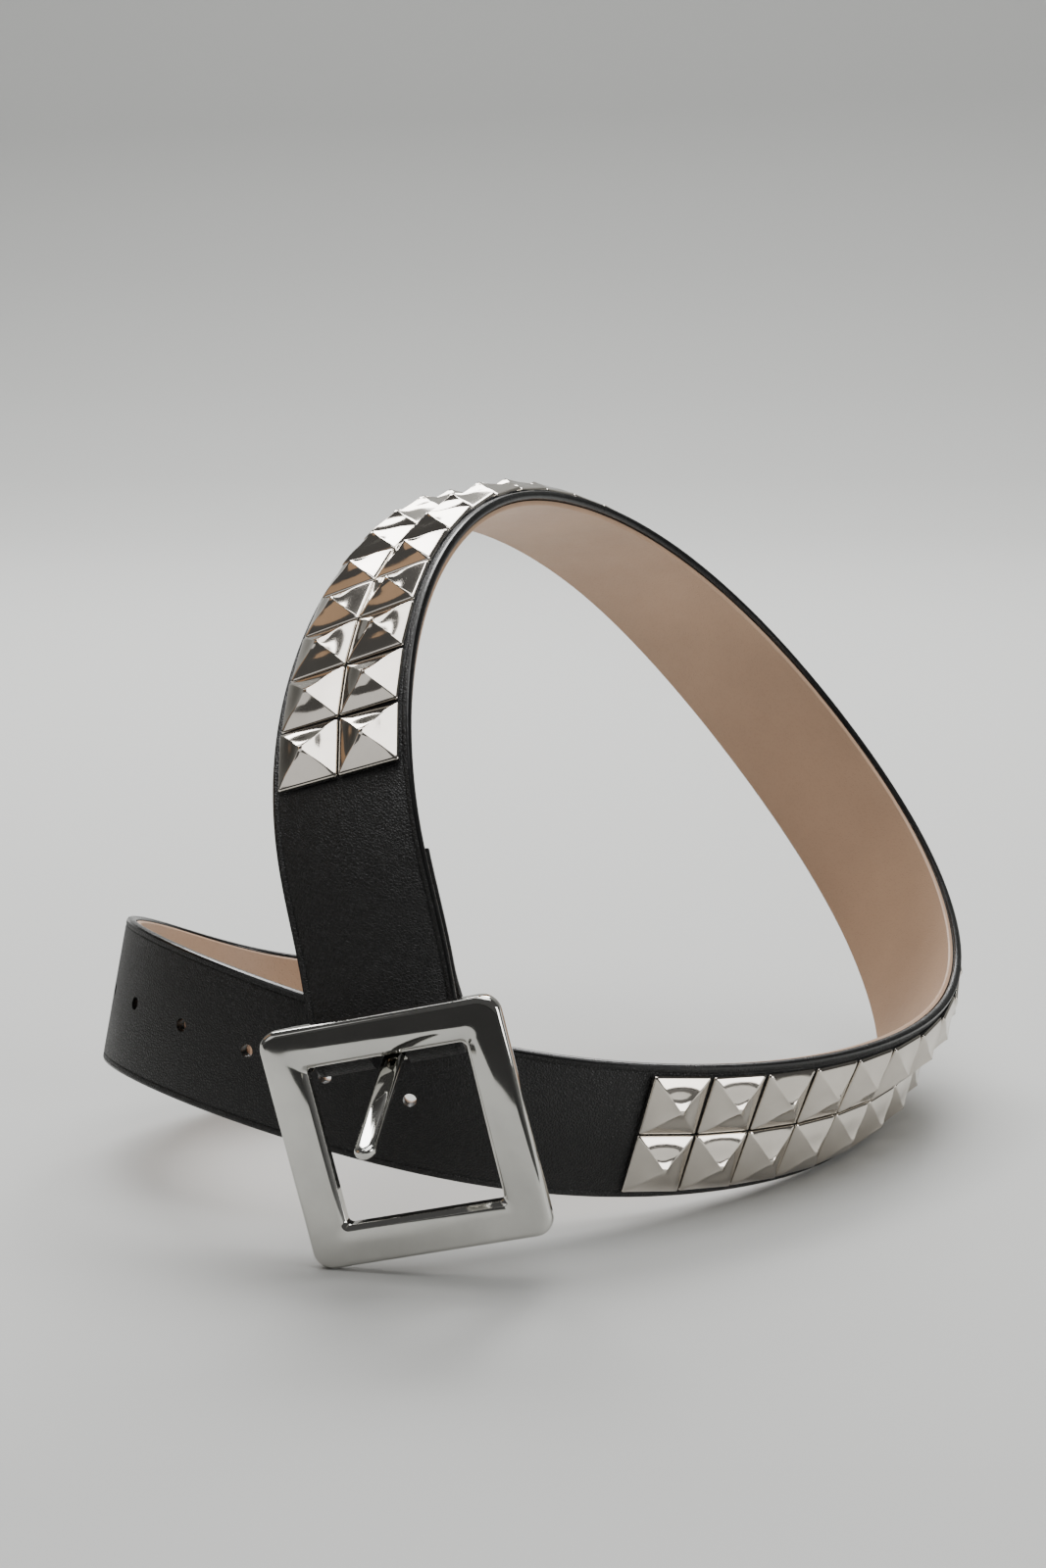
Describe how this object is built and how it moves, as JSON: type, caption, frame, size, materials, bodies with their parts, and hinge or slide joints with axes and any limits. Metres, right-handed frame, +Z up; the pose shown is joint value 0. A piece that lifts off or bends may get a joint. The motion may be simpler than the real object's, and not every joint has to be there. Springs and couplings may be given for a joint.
{
  "type": "studded belt",
  "caption": "Leather belt with two rows of pyramid studs and a square prong buckle, laid in an open twisted loop.",
  "frame": {"origin": "middle of the footprint, on the surface that the belt lies on", "axes": "+Z up, -Y towards the buckle's front, +X to the right as the buckle is seen"},
  "size_m": [0.2354, 0.2762, 0.1768],
  "materials": {
    "leather": "black grained leather, semi-gloss",
    "lining": "smooth tan leather",
    "studs": "polished nickel",
    "buckle": "polished nickel"
  },
  "bodies": {
    "belt": {"strap": "leather", "lining": "lining", "stud_row_upper": "studs", "stud_row_lower": "studs"},
    "frame": {"buckle_frame": "buckle"},
    "prong": {"prong": "buckle"}
  },
  "joints": [
    {"name": "frame_swing", "type": "hinge", "parent": "belt", "child": "frame", "pos_m": [-0.03775, -0.09445, 0.05507], "axis": [0.947, -0.2242, 0.23], "range_deg": [-22, 32]},
    {"name": "prong_lift", "type": "hinge", "parent": "frame", "child": "prong", "pos_m": [-0.03775, -0.09445, 0.05507], "axis": [0.947, -0.2242, 0.23], "range_deg": [-8, 56]}
  ]
}
